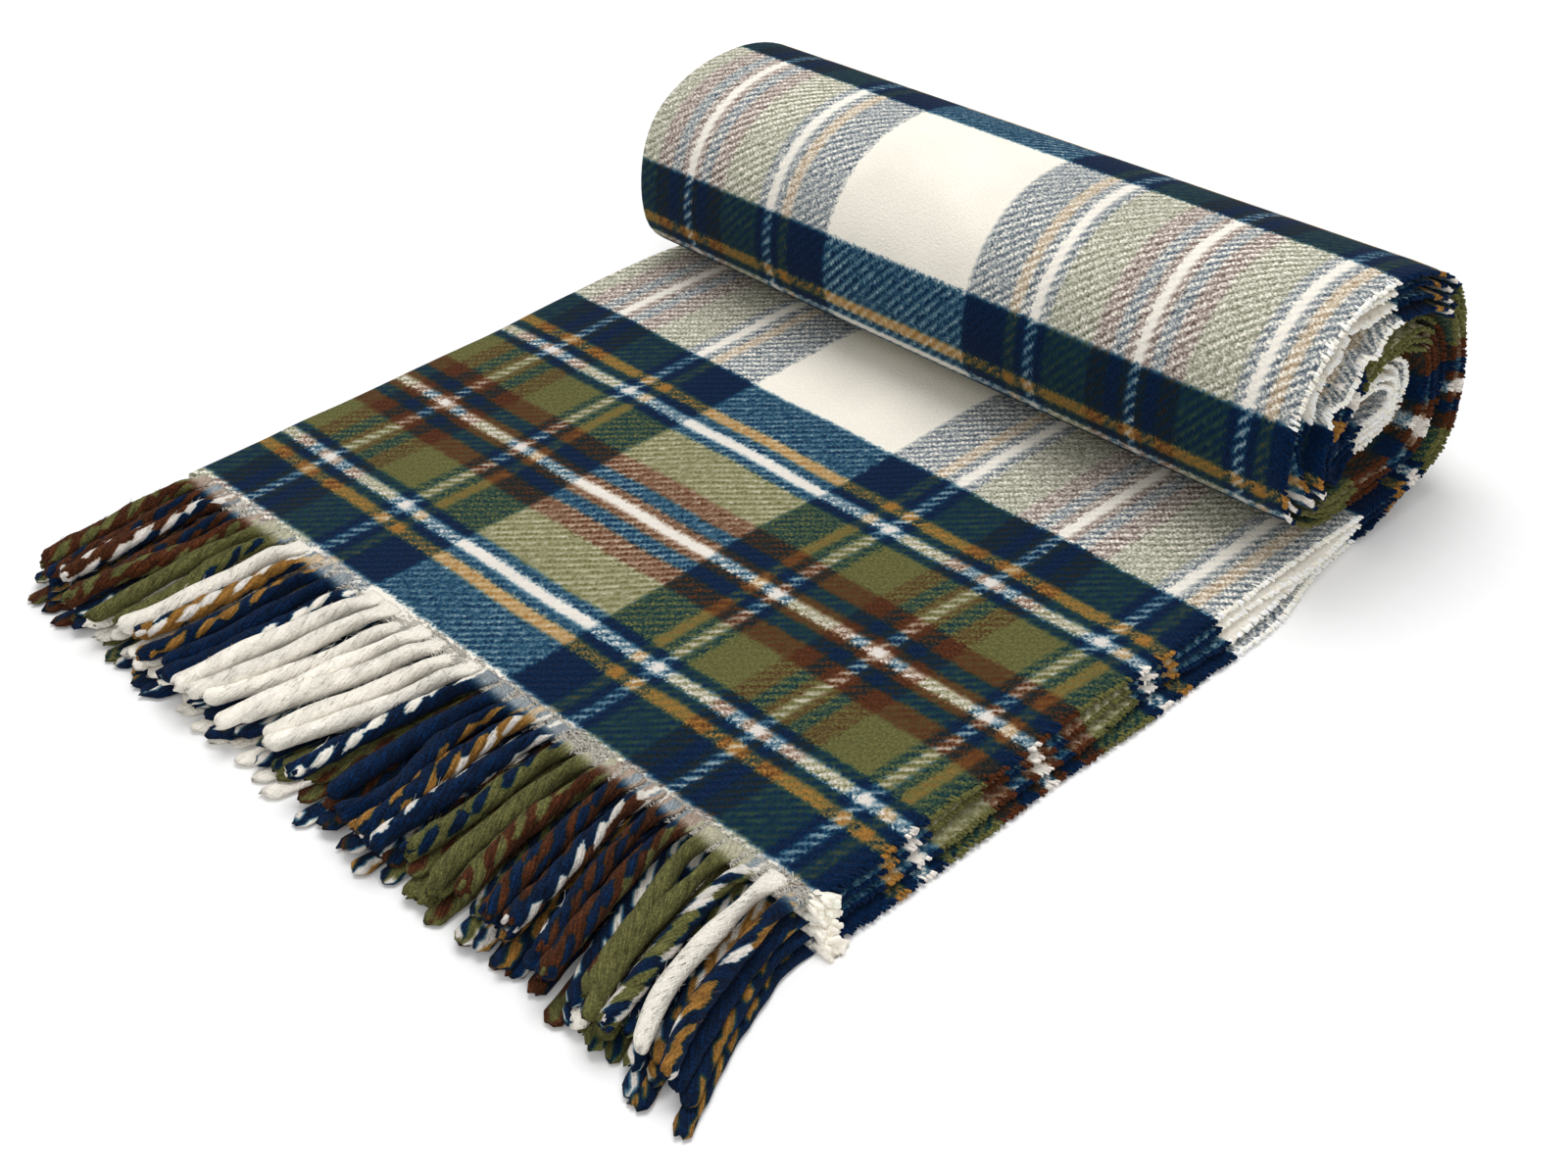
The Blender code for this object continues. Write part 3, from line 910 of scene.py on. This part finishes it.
def add_header_fuzz(strands, roots, pitch, rng):
    """Fluff of the cream picks along the hem, where the warp ends leave the cloth."""
    for root_x in np.repeat(roots, HEADER_HAIRS):
        x = root_x + rng.uniform(-0.5, 0.5) * pitch
        y = HEM_Y + rng.uniform(-0.0040, 0.0045)
        root = np.array((x, y, row_level(3, HEM_Y) + GAP + CLOTH + rng.uniform(-0.0001, 0.0003)))
        heading = rng.normal(0, 0.7) + (math.pi if rng.random() < 0.5 else 0.0)
        onward = np.array((math.cos(heading), 0.8 * math.sin(heading), 0.0))
        length = rng.uniform(0.0020, 0.0042)
        t = np.array([0.0, 0.5, 1.0])[:, None]
        rise = np.array((0.0, 0.0, rng.uniform(0.0002, 0.0007)))
        line = root + onward * length * t + rise * 4 * t * (1 - t)
        shade = np.minimum(np.array(DYES["cream"]) * rng.uniform(0.96, 1.03), BRIGHTEST)
        strands.add_tube(line, (0.00023, 0.00027, 0.00016), shade, 4)


def tassel_dyes(root_x, pitch, rng, span=1.5):
    """The warp's colours for a tassel's yarns; span is the width it gathers, in pitches. A mixed
    tassel takes few ends of a white or cream stripe."""
    across = root_x + ((np.arange(YARNS) + 0.5) / YARNS - 0.5) * pitch * span
    dyes = np.array([warp_dye(x) for x in across])
    light = np.flatnonzero(dyes.min(axis=1) > LIGHT)
    if len(light) < YARNS:
        dyes[light[MIXED_LIGHT:]] = dyes[dyes.sum(axis=1).argmin()]
    return dyes * rng.uniform(0.98, 1.09, (YARNS, 1))


def add_top_row(material):
    """The plied tassels, and the warp ends between the hem and the tassels as one piece."""
    rng = np.random.default_rng(36)
    pitch, roots = row_roots(1)
    ends = Strands()
    tassels = []
    for index, root_x in enumerate(roots, start=1):
        root = (root_x, HEM_Y + 0.003)
        length = TASSEL_LENGTH + rng.uniform(-0.005, 0.003)
        shift = splay(root_x) + rng.normal() * 0.0029
        sway, phase = rng.normal() * 0.0021, rng.uniform(0, 2 * math.pi)
        lift = rng.uniform(0, 0.0024)

        def sideways(t):
            return shift * t ** 1.6 + sway * t * (np.sin(6 * t + phase) - math.sin(phase))

        def base_level(y):
            return row_level(3, y) + GAP + lift

        lay = RIGHT_LAY if index > TASSELS - RIGHT_LAID else LEFT_LAY
        dyes = tassel_dyes(root_x, pitch, rng, 3.0 if index == TASSELS else 1.5)
        if index in LONE_WHITE:
            dyes = np.tile(DYES["cream"], (YARNS, 1))
        made = cord(TOP_CORD, lay, root, length, pitch, sideways, base_level, dyes, rng)
        cut = int(np.searchsorted(HEM_Y - made[0][:, 0, 1], ROOT_CUT))
        ends.add(*(part[:cut + 1] for part in made))
        tassel = Strands()
        tassel.add(*(part[cut:] for part in made))
        add_fuzz(tassel, made[0][cut:], made[1][cut:], rng)
        if dyes.std(axis=0).max() > 0.08:
            add_frayed_tip(tassel, made[0], dyes, rng)
        tassels.append(tassel.finish(f"plied_tassel_{index:02d}", material))
    add_header_fuzz(ends, roots, pitch, rng)
    return ends.finish("top_warp_ends", material), tassels


def add_lower_row(quarter, material):
    """One lower row of cords, pressed flat by the rows that lie on it."""
    rng = np.random.default_rng(100 + quarter)
    pitch, roots = row_roots(quarter)
    row = Strands()
    for root_x in roots:
        root = (root_x, hem_y(quarter) + 0.003)
        length = TASSEL_LENGTH - LOW_SHORT + ROW_STEP * (quarter - 1) + rng.uniform(-0.0045, 0.003)
        shift = splay(root_x) + rng.normal() * 0.004

        def sideways(t):
            return shift * t ** 1.6

        def base_level(y):
            return row_level(4 - quarter, y) + GAP

        # quarters 2 and 3 are the mirrored half of the cloth, but for its last stripes
        mirrored = quarter in (2, 3) and root_x < 0.165
        span = 3.0 if root_x == roots[-1] else 1.5
        dyes = tassel_dyes(2 * CREASE_X - root_x if mirrored else root_x, pitch, rng, span)
        row.add(*cord(LOW_CORD, LEFT_LAY, root, length, pitch, sideways, base_level, dyes, rng))
    return row.finish(f"lower_tassels_{quarter}", material)


# ---------------------------------------------------------------- stage

CAMERA_AZIMUTH = math.radians(47.65)
CAMERA_ELEVATION = math.radians(35.86)
CAMERA_ROLL = math.radians(-2.57)
CAMERA_TARGET = (0.0745, 0.0044)
CAMERA_DISTANCE = 0.821
LENS = 51.75


def add_camera():
    a, e, r = CAMERA_AZIMUTH, CAMERA_ELEVATION, CAMERA_ROLL
    back = Vector((math.sin(a) * math.cos(e), -math.cos(a) * math.cos(e), math.sin(e)))
    right = Vector((math.cos(a), math.sin(a), 0))
    up = back.cross(right)
    right, up = right * math.cos(r) + up * math.sin(r), up * math.cos(r) - right * math.sin(r)
    target = ORIGIN + Vector((*CAMERA_TARGET, STACK + GAP / 2))
    data = bpy.data.cameras.new("camera")
    data.sensor_width = 36.0
    data.lens = LENS
    data.clip_start = 0.01
    camera = bpy.data.objects.new("camera", data)
    spin = Matrix((right, up, back)).transposed().to_4x4()
    camera.matrix_world = Matrix.Translation(target + back * CAMERA_DISTANCE) @ spin
    bpy.context.scene.collection.objects.link(camera)
    bpy.context.scene.camera = camera


def add_light(name, place_at, aim, size, power):
    data = bpy.data.lights.new(name, "AREA")
    data.shape = "DISK"
    data.size = size
    data.energy = power
    light = bpy.data.objects.new(name, data)
    light.location = place_at
    direction = Vector(place_at) - Vector(aim)
    light.rotation_mode = "QUATERNION"
    light.rotation_quaternion = direction.to_track_quat("Z", "Y")
    bpy.context.scene.collection.objects.link(light)


def add_stage():
    g = Graph("floor_paper")
    where = g.node("ShaderNodeTexCoord").outputs["Object"]
    grain = g.noise(where, 90.0, 2.0)
    tone = g.mix(g.remap(grain, -0.5, 0.5), (0.90, 0.90, 0.90, 1.0), (0.93, 0.93, 0.93, 1.0))
    g.feed(g.shader.inputs["Base Color"], tone)
    g.shader.inputs["Roughness"].default_value = 0.9
    mesh = bpy.data.meshes.new("floor")
    reach = 6.0
    corners = [(-reach, -reach, 0), (reach, -reach, 0), (reach, reach, 0), (-reach, reach, 0)]
    mesh.from_pydata(corners, [], [(0, 1, 2, 3)])
    mesh.materials.append(g.material)
    floor = bpy.data.objects.new("floor", mesh)
    bpy.context.scene.collection.objects.link(floor)

    world = bpy.data.worlds.new("studio")
    world.use_nodes = True
    world.node_tree.nodes["Background"].inputs["Color"].default_value = (1.0, 1.0, 1.0, 1.0)
    world.node_tree.nodes["Background"].inputs["Strength"].default_value = 0.62
    bpy.context.scene.world = world
    add_light("overhead", (-0.25, 0.35, 1.6), (0, 0, 0), 1.3, 17.0)
    add_light("front", (1.1, -1.1, 1.1), (0, 0, 0), 1.1, 7.0)
    bpy.context.scene.view_settings.view_transform = "Standard"


# ---------------------------------------------------------------- assembly


def main():
    add_camera()
    add_stage()
    tartan = tartan_material()
    cord = cord_material("cord_wool", 0.0013)
    tuft = cord_material("tuft_wool", 0.0002)

    cloth = add_cloth(tartan)
    tufts = add_tufts(tuft)
    warp_ends, tassels = add_top_row(cord)
    lower_rows = {quarter: add_lower_row(quarter, cord) for quarter in (2, 3, 4)}

    quarters = [f"quarter_{q}_{part}" for q in (1, 2, 3, 4) for part in ("roll", "flap")]
    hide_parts(*quarters)

    for piece in (cloth, tufts):
        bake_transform(piece)

    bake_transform(warp_ends)
    for index, tassel in enumerate(tassels, start=1):
        node = f"tassel_{index:02d}"
        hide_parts(node)
        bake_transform(tassel)
    for quarter, row in lower_rows.items():
        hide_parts(f"fringe_row_{quarter}")
        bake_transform(row)


main()
